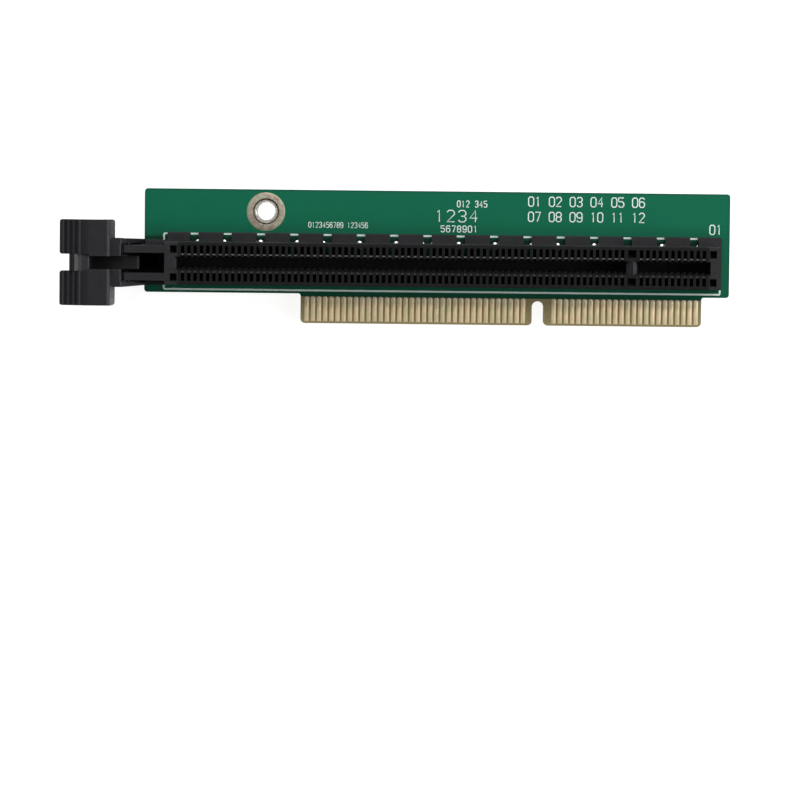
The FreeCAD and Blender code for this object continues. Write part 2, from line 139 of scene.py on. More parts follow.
class RiserPlasticLook(bpy.types.PropertyGroup):
    slot: colour("Slot plastic", "Glass filled plastic of the slot", 0.0195, 0.0195, 0.0215)
    # Painted shade: darker tone on the slot's crown between the contact cavities, in the latch's channel and on the
    # outer edge of its bridge.
    comb: colour("Comb", "The slot's crown between the contact cavities", 0.005, 0.005, 0.006)
    # Painted highlight: brighter tone on the slot's slopes that face along it, on the crest of the latch's rib and,
    # fainter, on the rest of its bridge.
    painted_highlight: colour("Polish", "Brighter plastic on the slot's slopes and the latch's bridge", 0.045, 0.045, 0.050)
    # Painted highlight on the crest of the latch's rib, between rib start and rib end.
    rib_start: length("Rib start", "Where the bright crest of the latch's rib starts, in X", -29.82)
    rib_end: length("Rib end", "Where the bright crest of the latch's rib ends, in X", -28.82)
    # Painted shade in the latch's channel, from here to the latch's end.
    channel_start: length("Channel start", "Where the latch's sunk, darker channel starts, in X", -27.4)
    latch: colour("Latch plastic", "Plastic of the retention latch", 0.0117, 0.0117, 0.0146)


class RiserMetalLook(bpy.types.PropertyGroup):
    gold: colour("Gold", "Plating of the fingers", 0.98, 0.775, 0.49)
    gold_thin: colour("Thin gold", "Cooler gold where the plating is thin", 0.80, 0.70, 0.41)
    # Painted highlight: paler gold towards the fingers' round tops.
    gold_highlight: colour("Pale gold", "Paler gold at the round tops", 1.0, 0.92, 0.70)
    tin: colour("Tinned copper", "Ring round the nut, lands and tails", 0.40, 0.405, 0.30)
    stain: colour("Stain", "Warmer patches in the tin on the ring", 0.34, 0.25, 0.215)
    solder: colour("Solder", "Solder joints", 0.62, 0.62, 0.60)
    steel: colour("Nut", "Plated steel of the nut", 0.86, 0.85, 0.81)
    # Painted shade: the beams' near-black tone stands in for the shade inside the cavities; the tip is five times
    # lighter.
    contact: colour("Contact", "Dull plating of the contacts' beams", 0.026, 0.026, 0.026)
    ring_height: length("Ring height", "How far the tin stands over the board round the nut", 0.05)
    finger_edge: length("Finger edge", "Bevel round a gold finger", 0.015)
    feed: length("Feed", "Step of the turning marks on the nut", 0.09)


class RiserNut(bpy.types.PropertyGroup):
    collar: length("Collar", "Radius of the shank where it fills the board's hole", 2.1)
    rim: length("Rim", "Radius of the shank's flat end", 1.87)
    rim_fall: length("Rim fall", "How far the turned-down end of the shank reaches down", 0.55)
    mouth: length("Mouth", "Radius of the thread's countersink", 1.66)
    thread_root: length("Thread root", "Radius at the root of the thread", 1.56)
    thread_depth: length("Thread depth", "Depth of the thread", 0.15)
    thread_pitch: length("Thread pitch", "Pitch of the thread", 0.5)
    chamfer: length("Chamfer", "Chamfer of the turned edges", 0.16)


class RiserSolder(bpy.types.PropertyGroup):
    pitch: length("Pitch", "Step between the holes of one row", 2.0)
    inner_row: length("Inner row", "Inner row of holes, from the slot's centre plane", 1.1)
    outer_row: length("Outer row", "Outer row of holes, from the slot's centre plane", 3.1)
    strip_width: length("Strip width", "Width of a contact strip along the slot", 0.45)
    land_radius: length("Land", "Outer radius of the plated land round a hole", 0.58)
    front_height: length("Front solder", "How far the solder stands over the front face", 0.14)
    rear_height: length("Rear solder", "How far the solder climbs the tails on the rear", 0.95)


class RiserPrint(bpy.types.PropertyGroup):
    ink: colour("Ink", "White ink of the print", 0.80, 0.90, 0.84)
    line: length("Line", "Width of the outline round the slot", 0.3)
    stroke: length("Stroke", "Width of a digit's stroke", 0.2)
    thickness: length("Thickness", "How far the ink stands over the mask", 0.018)
    corner: length("Corner", "Rounding of the outline's corners", 0.35)
    left: length("Left", "Middle of the outline's left line, in X", -16.45)
    right: length("Right", "Middle of the outline's right line, in X", 73.5)
    bottom: length("Bottom", "Middle of the outline's lower line, in Y", -12.68)
    top: length("Top", "Middle of the outline's upper line, in Y", -3.7)


class RiserStudio(bpy.types.PropertyGroup):
    distance: length("Camera distance", "From the lens to the board's front", 677)
    view_width: length("View width", "Width of the picture at the board's front", 129.61)
    across: length("Across", "X of the middle of the picture", 21.975)
    up: length("Up", "Y of the middle of the picture", -30.28)
    stand_y: length("Stand Y", "Y of the camera's place over the card", 5)
    roll: bpy.props.FloatProperty(
        name="Roll", description="Turn of the camera about its own axis", default=math.radians(0.62), subtype="ANGLE"
    )
    key_power: power("Key power", "Power of the main soft box", 6.6)
    left_power: power("Left power", "Power of the left soft box", 0.6)
    right_power: power("Right power", "Power of the right soft box", 5.0)
    ambient: bpy.props.FloatProperty(
        name="Ambient", description="Brightness of the white room", default=0.15, min=0, subtype="FACTOR"
    )
    table_glow: bpy.props.FloatProperty(
        name="Table glow", description="Light given by the white table itself", default=0.85, min=0, subtype="FACTOR"
    )


SETTINGS = {
    "riser_board": RiserBoardLook,
    "riser_plastic": RiserPlasticLook,
    "riser_metal": RiserMetalLook,
    "riser_nut": RiserNut,
    "riser_solder": RiserSolder,
    "riser_print": RiserPrint,
    "riser_studio": RiserStudio,
}


# ---------------------------------------------------------------- modelling by hand, in code

def clear_selection():
    """Leaves edit mode with nothing selected."""
    if bpy.context.mode != "OBJECT":
        bpy.ops.object.mode_set(mode="OBJECT")
    bpy.ops.object.select_all(action="DESELECT")


def make_active(piece):
    """Selects one piece alone."""
    clear_selection()
    piece.select_set(True)
    bpy.context.view_layer.objects.active = piece


def pick(kind, wanted):
    """In edit mode, selects the vertices, edges or faces for which wanted(element) is true."""
    bpy.ops.mesh.select_mode(type=kind)
    bpy.ops.mesh.select_all(action="DESELECT")
    data = bpy.context.active_object.data
    mesh = bmesh.from_edit_mesh(data)
    for element in {"VERT": mesh.verts, "EDGE": mesh.edges, "FACE": mesh.faces}[kind]:
        element.select_set(bool(wanted(element)))
    mesh.select_flush_mode()
    bmesh.update_edit_mesh(data)


def middle(element):
    """The middle of an edge or a face."""
    total = Vector()
    for corner in element.verts:
        total += corner.co
    return total / len(element.verts)


def start_box(low, high):
    """A cube primitive between two corners, in edit mode."""
    clear_selection()
    centre = (low + high) / 2
    bpy.ops.mesh.primitive_cube_add(size=1, location=centre, scale=high - low)
    bpy.ops.object.transform_apply(location=True, rotation=True, scale=True)
    bpy.ops.object.mode_set(mode="EDIT")
    return bpy.context.active_object


def spin_profile(profile, steps):
    """A closed (radius, z) outline spun round the Z axis into a solid, in edit mode."""
    clear_selection()
    bpy.ops.mesh.primitive_circle_add(vertices=len(profile), radius=1, location=(0, 0, 0))
    piece = bpy.context.active_object
    for vertex, (radius, z) in zip(piece.data.vertices, profile):
        vertex.co = (radius, 0, z)
    bpy.ops.object.mode_set(mode="EDIT")
    bpy.ops.mesh.select_all(action="SELECT")
    bpy.ops.mesh.spin(steps=steps, angle=2 * math.pi, center=(0, 0, 0), axis=(0, 0, 1))
    bpy.ops.mesh.select_all(action="SELECT")
    bpy.ops.mesh.remove_doubles(threshold=1e-7)
    bpy.ops.mesh.normals_make_consistent(inside=False)
    return piece


def copies(model, places):
    """Copies of a model, each with its own mesh, moved by each place and joined as one piece."""
    clear_selection()
    made = []
    for place in places:
        twin = model.copy()
        twin.data = model.data.copy()
        twin.data.transform(Matrix.Translation(place))
        bpy.context.scene.collection.objects.link(twin)
        made.append(twin)
    bpy.data.objects.remove(model)
    for twin in made:
        twin.select_set(True)
    bpy.context.view_layer.objects.active = made[0]
    if len(made) > 1:
        bpy.ops.object.join()
    return bpy.context.active_object


def settle(piece, name, material, smooth=30):
    """Names a finished piece, gives it its finish and makes it ride on the card."""
    make_active(piece)
    bpy.ops.object.transform_apply(location=True, rotation=True, scale=True)
    if smooth:
        bpy.ops.object.shade_smooth_by_angle(angle=math.radians(smooth))
    piece.name = name
    piece.data.name = name
    piece.data.materials.clear()
    piece.data.materials.append(material)
    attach(piece, CARD)


def dress(node, material):
    """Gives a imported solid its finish."""
    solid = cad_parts[node]
    if not solid.material_slots:
        solid.data.materials.append(material)
    for place in solid.material_slots:
        place.material = material


# ---------------------------------------------------------------- finishes

class Finish:
    """One procedural material. Its patterns read millimetres on the piece."""

    def __init__(self, name, sockets):
        self.material = bpy.data.materials.new(name)
        self.material.use_nodes = True
        self.nodes = self.material.node_tree.nodes
        self.links = self.material.node_tree.links
        self.shader = self.nodes["Principled BSDF"]
        for socket, value in sockets.items():
            self.shader.inputs[socket].default_value = value
        place = self.add("TexCoord")
        self.facing = self.add("SeparateXYZ", {0: place.outputs["Normal"]}).outputs
        self.point = self.add("Mapping", {"Vector": place.outputs["Object"], "Scale": (1 / MM,) * 3}).outputs[0]
        self.x, self.y, self.z = self.add("SeparateXYZ", {0: self.point}).outputs

    def add(self, kind, inputs=None, **settings):
        """Adds a node, sets its options, and links or sets its inputs."""
        node = self.nodes.new("ShaderNode" + kind)
        for option, value in settings.items():
            setattr(node, option, value)
        for key, value in (inputs or {}).items():
            if isinstance(value, bpy.types.NodeSocket):
                self.links.new(value, node.inputs[key])
            else:
                node.inputs[key].default_value = value
        return node

    def math(self, operation, *values):
        """One step of arithmetic."""
        return self.add("Math", dict(enumerate(values)), operation=operation).outputs[0]

    def times(self, *values):
        """The product of several values."""
        product = values[0]
        for value in values[1:]:
            product = self.math("MULTIPLY", product, value)
        return product

    def mix(self, share, first, second):
        """A mix of two colours."""
        inputs = {0: share, 6: first, 7: second}
        return self.add("Mix", inputs, data_type="RGBA").outputs[2]

    def ramp(self, value, low, high, out_low=0.0, out_high=1.0):
        """A smooth step of a value from low to high."""
        inputs = {0: value, 1: low, 2: high, 3: out_low, 4: out_high}
        return self.add("MapRange", inputs, interpolation_type="SMOOTHSTEP").outputs[0]

    def noise(self, per_mm, detail=2.0, stretch=(1, 1, 1)):
        """Noise of a given fineness, stretched along an axis by a small factor."""
        place = self.add("Mapping", {"Vector": self.point, "Scale": stretch}).outputs[0]
        return self.add("TexNoise", {"Vector": place, "Scale": per_mm, "Detail": detail}).outputs[0]

    def between(self, value, low, high, soft=0.1):
        """1 where a value in millimetres lies between two places, fading to 0 outside."""
        return self.times(self.ramp(value, low - soft, low), self.ramp(value, high, high + soft, 1.0, 0.0))

    def radius(self):
        """Distance from the nut's axis."""
        return self.math("SQRT", self.math("ADD", self.times(self.x, self.x), self.times(self.y, self.y)))

    def bump(self, height, micrometres):
        """Relief of a given full height, over what is there already."""
        inputs = {"Height": height, "Distance": micrometres * 1e-6}
        normal = self.shader.inputs["Normal"]
        if normal.links:
            inputs["Normal"] = normal.links[0].from_socket
        self.links.new(self.add("Bump", inputs).outputs[0], normal)

    def drive(self, socket, value):
        """Links a pattern to a socket of the shader."""
        self.links.new(value, self.shader.inputs[socket])


def rgba(values):
    """A colour with full alpha."""
    return (*values, 1.0)


def shade(values, factor):
    """A lighter or darker colour, with full alpha."""
    return rgba([min(1.0, value * factor) for value in values])


def between_fingers(f):
    """1 over the rows of front fingers and the laminate strips between them, 0 elsewhere."""
    rows = []
    for node in ("fingers_front_long", "fingers_front_short"):
        low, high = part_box(node)
        rows.append(f.times(f.math("GREATER_THAN", f.x, low.x / MM), f.math("LESS_THAN", f.x, high.x / MM)))
    return f.math("MAXIMUM", *rows)


def clear_of_edges(f, keep, soft):
    """1 where a point lies further than keep from the board's left, right and upper edges."""
    low, high = BOARD[0] / MM, BOARD[1] / MM
    clear = f.ramp(f.x, low.x + keep - soft, low.x + keep)
    for value, edge in ((f.x, high.x - keep), (f.y, high.y - keep)):
        clear = f.times(clear, f.ramp(value, edge, edge + soft, 1.0, 0.0))
    return clear


def board_finish(look):
    """Green mask over copper and laminate, bare laminate on the tongue and the edges."""
    f = Finish("board_mask_and_laminate", {"Specular IOR Level": 0.3})
    upward = f.facing[2]
    on_front = f.math("GREATER_THAN", upward, 0.9)
    flat = f.math("ABSOLUTE", upward)
    is_face = f.math("GREATER_THAN", flat, 0.9)
    mask_end = look.mask_end / MM
    above_tongue = f.ramp(f.y, mask_end - 0.06, mask_end + 0.06)
    ring = (PAD[1].x + look.pad_clearance) / MM
    off_ring = f.ramp(f.radius(), ring - 0.03, ring + 0.03)
    masked = f.times(is_face, above_tongue, off_ring)

    inside = clear_of_edges(f, look.edge_clearance / MM, 0.1)
    routed = clear_of_edges(f, look.edge_shade_width / MM, 0.12)
    thread = 2 * math.pi / (look.weave_pitch / MM)
    weave = f.times(f.math("SINE", f.times(f.x, thread)), f.math("SINE", f.times(f.y, thread)))
    green = f.mix(inside, rgba(look.mask_bare), rgba(look.mask))
    green = f.mix(f.ramp(f.noise(0.12, 3), 0.3, 0.7, 0, 0.35), green, shade(look.mask, 0.9))
    slot_y = SLOT_Y / MM
    # Painted shade under the slot housing: the mask there is darkened to 0.12 of its green.
    dark = f.times(
        f.between(f.x, HOUSING[0].x / MM, HOUSING[1].x / MM),
        f.between(f.y, slot_y - look.shade_reach_below / MM, slot_y + look.shade_reach_above / MM, 0.6),
        on_front,
    )
    green = f.mix(dark, green, shade(look.mask, 0.12))
    # Painted shade: the mask is darker just above its end over the fingers, fading out over 1.2 mm.
    green = f.mix(f.ramp(f.y, mask_end, mask_end + 1.2, 0.6, 0.0), green, shade(look.mask, 0.3))
    # Painted shade along the slot's upper side.
    foot = HOUSING[1].y / MM
    slot_side_shade = f.times(f.ramp(f.y, foot, foot + look.side_shade_width / MM, 0.35, 0.0), on_front)
    green = f.mix(slot_side_shade, green, shade(look.mask, 0.45))
    # Painted shade along the board's left, right and upper edges.
    green = f.mix(routed, shade(look.mask_bare, 0.35), green)

    fibre = f.noise(3.0, 2, (1, 1, 6))
    bare = f.mix(f.ramp(fibre, 0.3, 0.7, 0, 0.5), rgba(look.laminate), shade(look.laminate, 0.72))
    # Between the fingers the laminate carries painted shade and painted reflection from the fingers' sides.
    gap = f.times(f.math("LESS_THAN", f.y, FINGERS_TOP / MM), between_fingers(f), is_face)
    bare = f.mix(gap, bare, rgba(look.between))
    ground = f.times(f.math("LESS_THAN", f.y, FINGERS_END / MM + 0.1), f.math("GREATER_THAN", flat, 0.1))
    bare = f.mix(ground, bare, rgba(look.laminate))
    f.drive("Base Color", f.mix(masked, bare, green))
    f.drive("Roughness", f.ramp(masked, 0, 1, 0.62, 0.27))
    f.bump(masked, 20)
    f.bump(inside, 4)
    f.bump(weave, 0.8)
    f.bump(f.noise(1.1, 2), 2.5)
    return f.material


def moulded(name, tone, gloss=0.3):
    """Dull black moulded plastic with a fine spark-eroded grain, whose colour and roughness are still to be linked."""
    f = Finish(name, {"Specular IOR Level": gloss})
    f.bump(f.noise(9.0, 3), 5)
    f.bump(f.noise(0.7, 2), 6)
    tone = f.mix(f.ramp(f.noise(0.5, 3), 0.3, 0.7), shade(tone, 0.9), shade(tone, 1.1))
    return f, tone, f.ramp(f.noise(1.6, 3), 0.3, 0.7, 0.38, 0.5)


def latch_finish(look):
    """Plastic of the latch, with a painted highlight on the bridge between its wings and painted shade in its channel
    and on the bridge's outer edge.
    """
    f, tone, rough = moulded("latch_plastic", look.latch)
    slot_y = SLOT_Y / MM
    channel = f.between(f.y, slot_y - 1.0, slot_y + 1.0)
    bridge = f.times(f.between(f.y, slot_y - 1.3, slot_y + 1.3), f.math("GREATER_THAN", f.facing[2], 0.3))
    # Painted shade in the channel and on the bridge's outer edge, painted highlight on the rib's crest and, fainter, on
    # the rest of the bridge.
    for start, end, zone, share, other in (
        (look.channel_start, LATCH[1].x, channel, 0.75, look.comb),
        (LATCH[0].x, look.rib_start, bridge, 0.8, look.comb),
        (look.rib_start, look.rib_end, bridge, 0.9, look.painted_highlight),
        (look.rib_end, look.channel_start, bridge, 0.25, look.painted_highlight),
    ):
        tone = f.mix(f.times(f.between(f.x, start / MM, end / MM), zone, share), tone, rgba(other))
    f.drive("Base Color", tone)
    f.drive("Roughness", rough)
    return f.material


def slot_finish(look):
    """Plastic of the slot: matt and with painted shade on the crown between the cavities, with a painted highlight on
    the slopes.
    """
    f, tone, rough = moulded("slot_plastic", look.slot, 0.18)
    crown = f.ramp(f.z, HOUSING[1].z / MM - 0.7, HOUSING[1].z / MM - 0.4)
    left = min(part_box(node)[0].x for node in CONTACT_NODES) / MM
    right = max(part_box(node)[1].x for node in CONTACT_NODES) / MM
    comb = f.times(f.between(f.x, left - 0.5, right + 0.5, 0.2), crown)
    # Painted highlight on the slopes that face along the slot.
    slope = f.times(f.between(f.math("ABSOLUTE", f.facing[0]), 0.5, 0.985, 0.01),
                    f.math("GREATER_THAN", f.facing[2], 0.15))
    # Painted shade on the crown between the cavities; its roughness is raised there too.
    tone = f.mix(comb, tone, rgba(look.comb))
    f.drive("Base Color", f.mix(slope, tone, rgba(look.painted_highlight)))
    f.drive("Roughness", f.math("MULTIPLY_ADD", comb, 0.3, rough))
    return f.material


def gold_finish(look):
    """Gold over nickel, faintly brushed along the insertion direction."""
    f = Finish("gold_plate", {"Metallic": 0.35})
    streak = f.noise(6.0, 3, (1, 0.06, 1))
    cloud = f.noise(0.5, 2)
    gold = f.mix(f.ramp(cloud, 0.4, 0.6), rgba(look.gold_thin), rgba(look.gold))
    # Painted highlight towards the fingers' round tops.
    pale = f.ramp(f.y, FINGERS_TOP / MM - 1.1, FINGERS_TOP / MM - 0.2, 0.0, 0.85)
    f.drive("Base Color", f.mix(pale, gold, rgba(look.gold_highlight)))
    f.drive("Roughness", f.ramp(streak, 0.3, 0.7, 0.38, 0.5))
    f.bump(streak, 1.2)
    return f.material


def tin_finish(name, tone, stain, rough, metallic=1.0):
    """Tin: soft, slightly uneven, and stained in patches."""
    f = Finish(name, {"Metallic": metallic})
    cloud = f.noise(1.4, 3)
    f.drive("Base Color", f.mix(f.ramp(cloud, 0.35, 0.65), rgba(stain), rgba(tone)))
    f.drive("Roughness", f.ramp(cloud, 0.3, 0.7, rough - 0.06, rough + 0.08))
    f.bump(f.noise(3.0, 2), 6)
    return f.material


def steel_finish(look):
    """Turned and plated steel, with fine rings round the nut's axis."""
    f = Finish("nut_steel", {"Metallic": 0.9, "Base Color": rgba(look.steel)})
    turned = f.math("SINE", f.times(f.math("ADD", f.radius(), f.z), 2 * math.pi / (look.feed / MM)))
    f.drive("Roughness", f.ramp(f.noise(2.0, 2), 0.3, 0.7, 0.2, 0.32))
    f.bump(turned, 0.25)
    f.bump(f.noise(5.0, 2), 0.8)
    return f.material


def contact_finish(look):
    """Contact strip: tin on the tail, painted shade over the sprung beam and a lighter tone at the tip."""
    f = Finish("contact_strip", {"Metallic": 0.6})
    # Painted shade over the beam inside the cavities, lighter at the tip.
    beam = f.ramp(f.z, FRONT / MM + 0.6, FRONT / MM + 1.2)
    tip = f.ramp(f.z, CONTACT_A[1].z / MM - 0.7, CONTACT_A[1].z / MM - 0.4)
    tone = f.mix(tip, rgba(look.contact), shade(look.contact, 5))
    f.drive("Base Color", f.mix(beam, rgba(look.tin), tone))
    f.drive("Roughness", f.ramp(beam, 0, 1, 0.34, 0.6))
    f.bump(f.noise(8.0, 2, (1, 1, 0.15)), 1.5)
    return f.material


def ink_finish(look):
    """Screen printed white ink, slightly thin in places."""
    f = Finish("print_ink", {"Roughness": 0.55, "Specular IOR Level": 0.3})
    patch = f.noise(4.0, 3)
    f.drive("Base Color", f.mix(f.ramp(patch, 0.35, 0.7, 0, 0.5), rgba(look.ink), shade(look.ink, 0.82)))
    f.bump(f.noise(12.0, 2), 4)
    return f.material


# ---------------------------------------------------------------- operators

class RISER_OT_finishes(bpy.types.Operator):
    """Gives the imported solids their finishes"""
    bl_idname = "riser.finishes"
    bl_label = "Finishes of the solids"

    def execute(self, context):
        scene = context.scene
        metal = scene.riser_metal
        dress("circuit_board", board_finish(scene.riser_board))
        dress("slot_housing", slot_finish(scene.riser_plastic))
        dress("retention_latch", latch_finish(scene.riser_plastic))
        dress("mount_pad_rear", tin_finish("ring_tin", metal.tin, metal.stain, 0.44, 0.65))
        strip = contact_finish(metal)
        for node in CONTACT_NODES:
            dress(node, strip)
        return {"FINISHED"}


class RISER_OT_fingers(bpy.types.Operator):
    """Models the gold fingers with their round tops"""
    bl_idname = "riser.fingers"
    bl_label = "Gold fingers"

    def execute(self, context):
        look = context.scene.riser_metal
        gold = gold_finish(look)
        for node in FINGER_NODES:
            low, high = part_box(node)
            count = round((high.x - low.x) / PITCH)
            width = high.x - low.x - (count - 1) * PITCH
            piece = start_box(low, Vector((low.x + width, high.y, high.z)))
            pick("EDGE", lambda e: middle(e).y > high.y - NEAR and abs((e.verts[0].co - e.verts[1].co).z) > NEAR)
            bpy.ops.mesh.bevel(offset=width * 0.499, segments=5)
            face_z = high.z if low.z > REAR else low.z
            pick("EDGE", lambda e: all(abs(v.co.z - face_z) < NEAR for v in e.verts) and e.is_manifold
                 and any(abs(face.normal.z) < 0.5 for face in e.link_faces))
            bpy.ops.mesh.bevel(offset=look.finger_edge, segments=2)
            bpy.ops.object.mode_set(mode="OBJECT")
            piece = copies(piece, [Vector((n * PITCH, 0, 0)) for n in range(count)])
            settle(piece, "gold_" + node, gold, smooth=40)
            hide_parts(node)
        return {"FINISHED"}


class RISER_OT_ring(bpy.types.Operator):
    """Models the tinned ring round the nut, highest at its hole where the tin has gathered"""
    bl_idname = "riser.ring"
    bl_label = "Tinned ring"

    def execute(self, context):
        scene = context.scene
        hole, height = scene.riser_nut.collar, scene.riser_metal.ring_height
        width = PAD[1].x - hole
        fillet = [(0, -0.2), (0.01, 0.85), (0.06, 1), (0.2, 0.95), (0.4, 0.82), (0.62, 0.64), (0.84, 0.42), (0.97, 0.2),
                  (1, -0.2)]
        ring = spin_profile([(hole + share * width, FRONT + rise * height) for share, rise in fillet], ROUND)
        bpy.ops.object.mode_set(mode="OBJECT")
        settle(ring, "tinned_ring", bpy.data.materials["ring_tin"], smooth=60)
        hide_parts("mount_pad_front")
        return {"FINISHED"}


class RISER_OT_nut(bpy.types.Operator):
    """Turns the nut and winds its thread"""
    bl_idname = "riser.nut"
    bl_label = "Threaded nut"

    def execute(self, context):
        nut = context.scene.riser_nut
        rear, top, head = NUT[0].z, NUT[1].z, NUT[1].x
        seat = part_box("mount_pad_rear")[0].z
        countersink = nut.mouth - nut.thread_root
        broken = 0.02 * MM
        body = spin_profile([
            (nut.thread_root, rear + countersink), (nut.mouth, rear), (head - nut.chamfer, rear),
            (head, rear + nut.chamfer), (head, seat), (nut.collar, seat),
            (nut.collar, top - nut.rim_fall - nut.chamfer), (nut.rim + broken, top - nut.rim_fall),
            (nut.rim + broken, top - 2 * broken), (nut.rim - broken, top), (nut.mouth, top),
            (nut.thread_root, top - countersink),
        ], ROUND)
        bpy.ops.object.mode_set(mode="OBJECT")

        clear_selection()
        bpy.ops.mesh.primitive_circle_add(vertices=3, radius=1, location=(0, 0, 0))
        thread = bpy.context.active_object
        start = rear + countersink
        tooth = nut.thread_pitch * 0.84
        span = top - rear - 2 * countersink - tooth
        turns = round(span / nut.thread_pitch)
        crest = nut.thread_root - nut.thread_depth
        section = ((nut.thread_root + SINK, 0), (crest, tooth / 2), (nut.thread_root + SINK, tooth))
        for vertex, (radius, z) in zip(thread.data.vertices, section):
            vertex.co = (radius, 0, start + z)
        wind = thread.modifiers.new("wind", "SCREW")
        wind.screw_offset = span / turns
        wind.iterations = turns
        wind.steps = wind.render_steps = 32
        bpy.ops.object.modifier_apply(modifier="wind")
        bpy.ops.object.mode_set(mode="EDIT")
        bpy.ops.mesh.select_all(action="SELECT")
        bpy.ops.mesh.fill_holes(sides=3)
        bpy.ops.mesh.select_all(action="SELECT")
        bpy.ops.mesh.normals_make_consistent(inside=False)
        bpy.ops.object.mode_set(mode="OBJECT")
        body.select_set(True)
        bpy.context.view_layer.objects.active = body
        bpy.ops.object.join()
        settle(body, "nut_turned", steel_finish(context.scene.riser_metal))
        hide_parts("threaded_nut")
        return {"FINISHED"}


def tail_places(settings):
    """(x, y) of every contact tail, worked out from the extents of each row of contacts."""
    places = []
    for node in CONTACT_NODES:
        low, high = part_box(node)
        first = low.x + settings.strip_width / 2
        last = high.x - settings.strip_width / 2
        side = 1 if "_a_" in node else -1
        row = settings.outer_row if node.endswith("outer") else settings.inner_row
        for n in range(round((last - first) / settings.pitch) + 1):
            places.append((first + n * settings.pitch, SLOT_Y + side * row))
    return places


class RISER_OT_solder(bpy.types.Operator):
    """Models the plated lands and the solder joints on both faces"""
    bl_idname = "riser.solder"
    bl_label = "Lands and solder"

    def execute(self, context):
        settings = context.scene.riser_solder
        tone = context.scene.riser_metal.solder
        solder = tin_finish("solder", tone, shade(tone, 0.86)[:3], 0.24)
        places = tail_places(settings)
        in_view = [(x, y) for x, y in places if abs(y - SLOT_Y) > settings.inner_row * 1.5]
        land = settings.land_radius
        plate = 0.05 * MM
        for name, face, outward, height, where in (
            ("solder_front", FRONT, 1, settings.front_height, in_view),
            ("solder_rear", REAR, -1, settings.rear_height, places),
        ):
            shape = [
                (0, -SINK), (land, -SINK), (land, plate * 0.6), (land * 0.93, plate * 0.9),
                (land * 0.7, plate + height * 0.12), (land * 0.52, plate + height * 0.36),
                (land * 0.41, plate + height * 0.72), (land * 0.3, plate + height), (0, plate + height),
            ]
            piece = spin_profile([(radius, face + outward * z) for radius, z in shape], 12)
            bpy.ops.object.mode_set(mode="OBJECT")
            piece = copies(piece, [Vector((x, y, 0)) for x, y in where])
            settle(piece, name, solder, smooth=60)
        return {"FINISHED"}


class RISER_OT_outline(bpy.types.Operator):
    """Prints the outline round the slot"""
    bl_idname = "riser.outline"
    bl_label = "Printed outline"

    def execute(self, context):
        settings = context.scene.riser_print
        half = settings.line / 2
        left, right = settings.left - half, settings.right + half
        bottom, top = settings.bottom - half, settings.top + half
        clear_selection()
        bpy.ops.mesh.primitive_plane_add(size=1, location=((left + right) / 2, (bottom + top) / 2, FRONT))
        piece = bpy.context.active_object
        piece.scale = (right - left, top - bottom, 1)
        bpy.ops.object.transform_apply(location=True, rotation=True, scale=True)
        bpy.ops.object.mode_set(mode="EDIT")
        bpy.ops.mesh.select_all(action="SELECT")
        bpy.ops.mesh.bevel(offset=settings.corner, segments=5, affect="VERTICES")
        bpy.ops.mesh.select_all(action="SELECT")
        bpy.ops.mesh.inset(thickness=settings.line)
        bpy.ops.mesh.delete(type="FACE")
        bpy.ops.mesh.select_all(action="SELECT")
        bpy.ops.mesh.extrude_region_move(TRANSFORM_OT_translate={"value": (0, 0, settings.thickness)})
        bpy.ops.mesh.select_all(action="SELECT")
        bpy.ops.mesh.normals_make_consistent(inside=False)
        bpy.ops.object.mode_set(mode="OBJECT")
        settle(piece, "printed_outline", ink_finish(settings))
        return {"FINISHED"}


# Digits as strokes on a grid four steps wide and six high
STROKES = {
    "0": [[(1, 0), (3, 0), (4, 1), (4, 5), (3, 6), (1, 6), (0, 5), (0, 1), (1, 0)]],
    "1": [[(1, 5), (2, 6), (2, 0)]],
    "2": [[(0, 5), (1, 6), (3, 6), (4, 5), (4, 4), (0, 0), (4, 0)]],
    "3": [[(0, 5), (1, 6), (3, 6), (4, 5), (4, 4), (3, 3), (4, 2), (4, 1), (3, 0), (1, 0), (0, 1)], [(1.5, 3), (3, 3)]],
    "4": [[(3, 0), (3, 6), (0, 2), (4, 2)]],
    "5": [[(4, 6), (0, 6), (0, 3.5), (3, 3.5), (4, 2.5), (4, 1), (3, 0), (1, 0), (0, 1)]],
    "6": [[(4, 5), (3, 6), (1, 6), (0, 5), (0, 1), (1, 0), (3, 0), (4, 1), (4, 2.5), (3, 3.5), (0, 3.5)]],
    "7": [[(0, 6), (4, 6), (1.5, 0)]],
    "8": [[(1, 3), (0, 4), (0, 5), (1, 6), (3, 6), (4, 5), (4, 4), (3, 3), (1, 3), (0, 2), (0, 1), (1, 0), (3, 0),
           (4, 1), (4, 2), (3, 3)]],
    "9": [[(0, 1), (1, 0), (3, 0), (4, 1), (4, 5), (3, 6), (1, 6), (0, 5), (0, 3.5), (1, 2.5), (4, 2.5)]],
}

# Plain numbers: name, digits, left end, foot, height, step and width of a digit in millimetres, share of the stroke
NUMBERS = [
    ("numbers_small", "0123456789 123456", 6.9, -2.5, 0.85, 0.572, 0.38, 0.6),
    ("numbers_top", "012 345", 30.9, 1.05, 1.0, 0.72, 0.46, 0.85),
    ("numbers_block", "1234", 27.4, -1.35, 1.85, 1.85, 1.2, 0.9),
    ("numbers_foot", "5678901", 28.3, -3.0, 1.0, 0.88, 0.56, 0.85),
    ("numbers_upper", "01 02 03 04 05 06", 42.4, 1.3, 1.5, 1.12, 0.82, 1.0),
    ("numbers_lower", "07 08 09 10 11 12", 42.4, -1.15, 1.5, 1.12, 0.82, 1.0),
    ("number_slot", "01", 71.75, -2.95, 1.5, 1.1, 0.8, 1.0),
]


